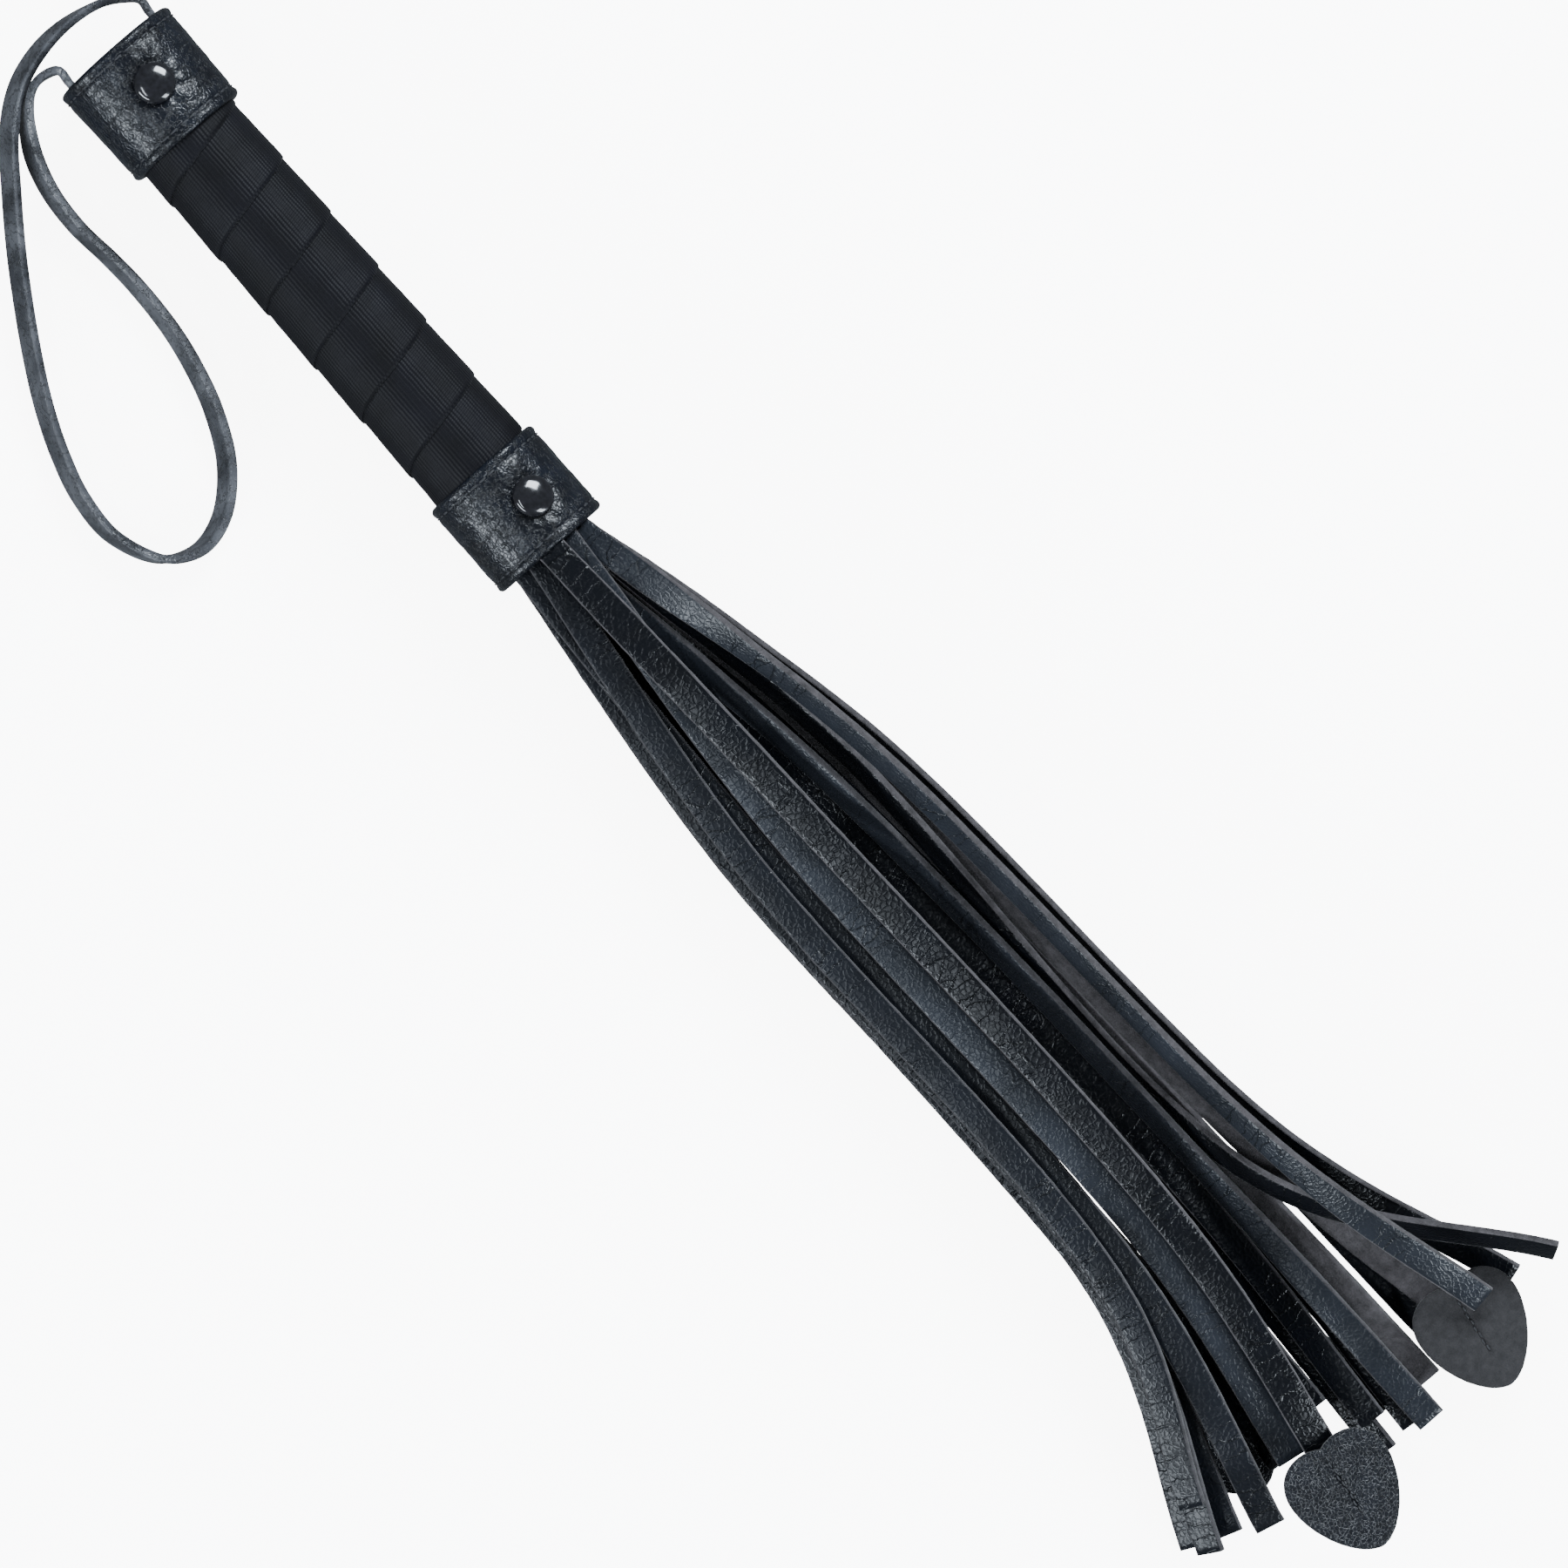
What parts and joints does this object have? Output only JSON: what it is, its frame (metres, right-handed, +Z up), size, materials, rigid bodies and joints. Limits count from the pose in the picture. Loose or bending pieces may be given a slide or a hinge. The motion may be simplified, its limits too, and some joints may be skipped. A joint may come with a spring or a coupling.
{
  "type": "leather flogger",
  "caption": "Short leather flogger: a tape-wrapped handle with two riveted leather cuffs, a wrist loop, and a bunch of flat leather tails, some with heart tips.",
  "frame": {"origin": "on the table under the middle of the object without its wrist loop", "axes": "+X from the butt along the handle towards the tails' tips, +Z up from the table it lies on"},
  "size_m": [0.4757, 0.1479, 0.0351],
  "materials": {
    "cuff_leather": "semi-gloss crinkled black leather",
    "tail_leather": "semi-gloss grained black leather with a suede back",
    "heart_leather": "satin pebbled black leather",
    "strap_leather": "satin black leather with a layered edge",
    "grip_tape": "fine ribbed black woven tape",
    "gloss_rivet": "high-gloss black",
    "wood_core": "plain turned wood, hidden",
    "foam": "matt foam, hidden"
  },
  "bodies": {
    "handle": {"handle_core": "wood_core", "grip_padding": "foam", "grip_wrap": "grip_tape", "butt_cuff": "cuff_leather", "lower_cuff": "cuff_leather", "butt_disc": "cuff_leather", "tail_root_roll": "tail_leather", "butt_rivet": "gloss_rivet", "lower_rivet": "gloss_rivet", "strap_end_upper": "strap_leather", "strap_end_lower": "strap_leather"},
    "wrist_loop": {"wrist_loop": "strap_leather"},
    "tails_lower": {"tail_01": "tail_leather", "tail_02": "tail_leather", "tail_03": "tail_leather", "tail_04": "tail_leather", "tail_05": "tail_leather", "tail_06": "tail_leather", "tail_07": "tail_leather", "tail_08": "tail_leather", "tail_09": "tail_leather", "heart_tip_1": "heart_leather"},
    "tails_middle": {"tail_10": "tail_leather", "tail_11": "tail_leather", "tail_12": "tail_leather", "tail_13": "tail_leather", "tail_14": "tail_leather", "tail_15": "tail_leather", "tail_16": "tail_leather", "tail_17": "tail_leather", "tail_18": "tail_leather", "tail_19": "tail_leather", "tail_20": "tail_leather", "tail_21": "tail_leather", "heart_tip_2": "heart_leather"},
    "tails_upper": {"tail_22": "tail_leather", "tail_23": "tail_leather"},
    "heart_tail": {"tail_24": "tail_leather", "heart_tip_3": "heart_leather"}
  },
  "joints": [
    {"name": "wrist_loop_swing", "type": "hinge", "parent": "handle", "child": "wrist_loop", "pos_m": [-0.2362, -0.01251, 0.0164], "axis": [0, -1, 0], "range_deg": [0, 90]},
    {"name": "tails_lower_lift", "type": "hinge", "parent": "handle", "child": "tails_lower", "pos_m": [-0.0746, -0.01251, 0.0318], "axis": [0, -1, 0], "range_deg": [0, 45]},
    {"name": "tails_middle_lift", "type": "hinge", "parent": "tails_lower", "child": "tails_middle", "pos_m": [-0.0746, -0.01251, 0.0318], "axis": [0, -1, 0], "range_deg": [0, 15]},
    {"name": "tails_upper_lift", "type": "hinge", "parent": "tails_middle", "child": "tails_upper", "pos_m": [-0.0746, -0.01251, 0.0318], "axis": [0, -1, 0], "range_deg": [0, 10]},
    {"name": "heart_tail_lift", "type": "hinge", "parent": "tails_upper", "child": "heart_tail", "pos_m": [-0.0746, -0.01251, 0.0318], "axis": [0, -1, 0], "range_deg": [0, 15]}
  ]
}
